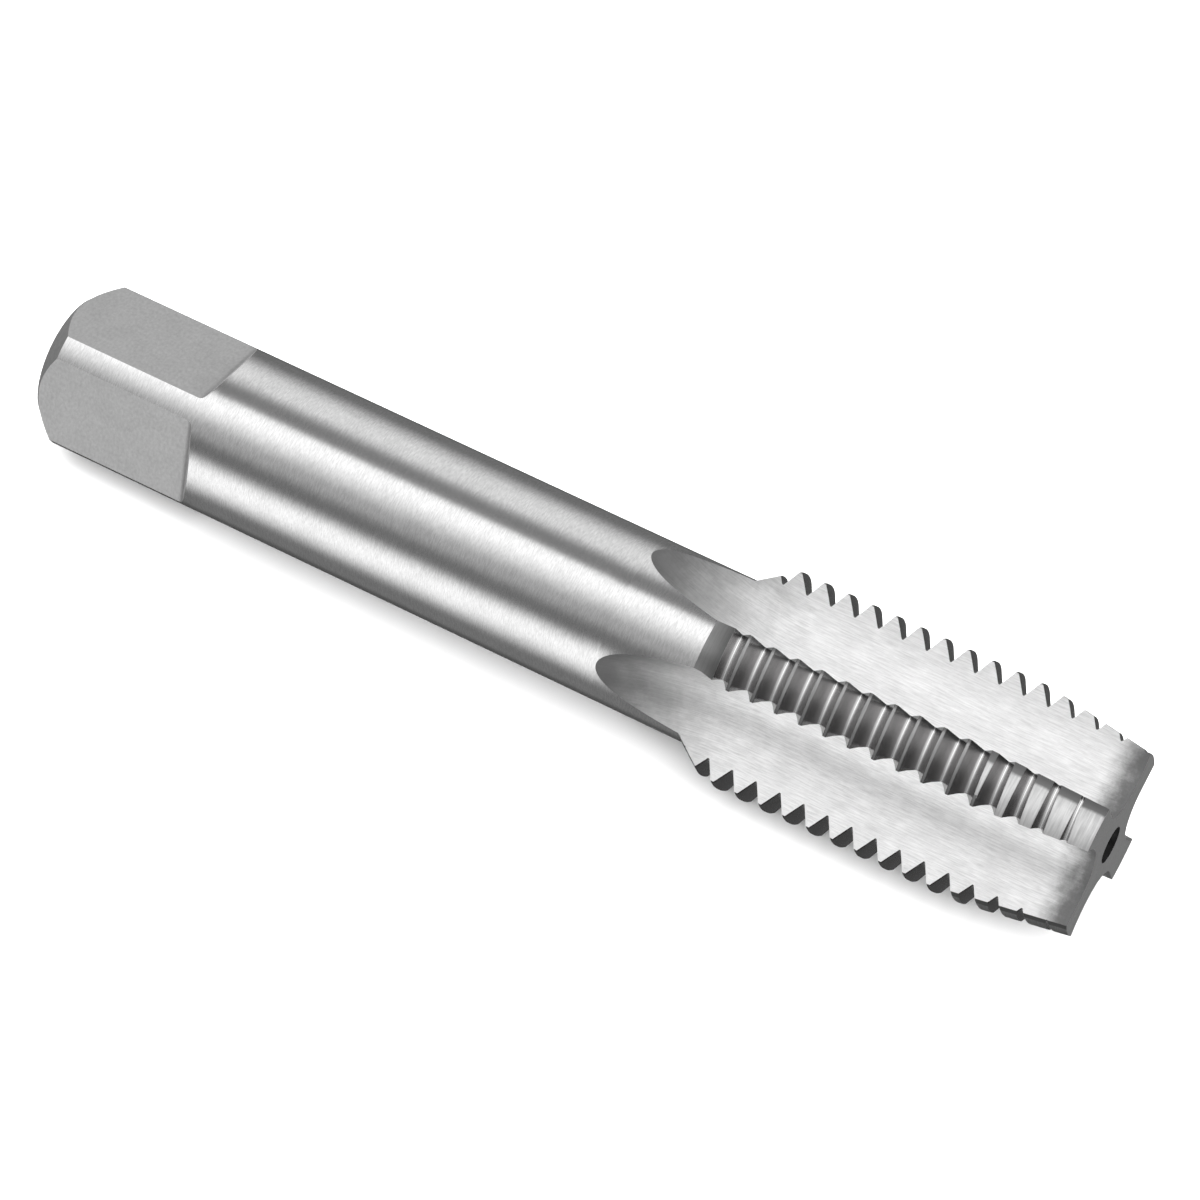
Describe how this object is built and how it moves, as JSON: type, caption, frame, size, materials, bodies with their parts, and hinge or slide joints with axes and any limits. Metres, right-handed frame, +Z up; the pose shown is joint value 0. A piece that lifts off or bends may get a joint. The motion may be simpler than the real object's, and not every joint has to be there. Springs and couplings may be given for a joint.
{
  "type": "thread tap",
  "caption": "Hand tap that cuts an internal right-hand metric thread, with straight flutes, a tapered lead, a round shank and a drive square.",
  "frame": {"origin": "centre of the flat end face at the cutting end, on the tap's axis, at the mouth of the front centre hole", "axes": "+X along the axis from the drive square towards the cutting end; +Z up, with two lands and one flat of the square facing down; the thread is right-hand about +X"},
  "size_m": [0.135, 0.0225, 0.0225],
  "materials": {
    "steel": "ground high speed steel: cylindrically ground shank, milled square, ground flutes and thread"
  },
  "bodies": {
    "root": {"tap": "steel"}
  },
  "joints": []
}
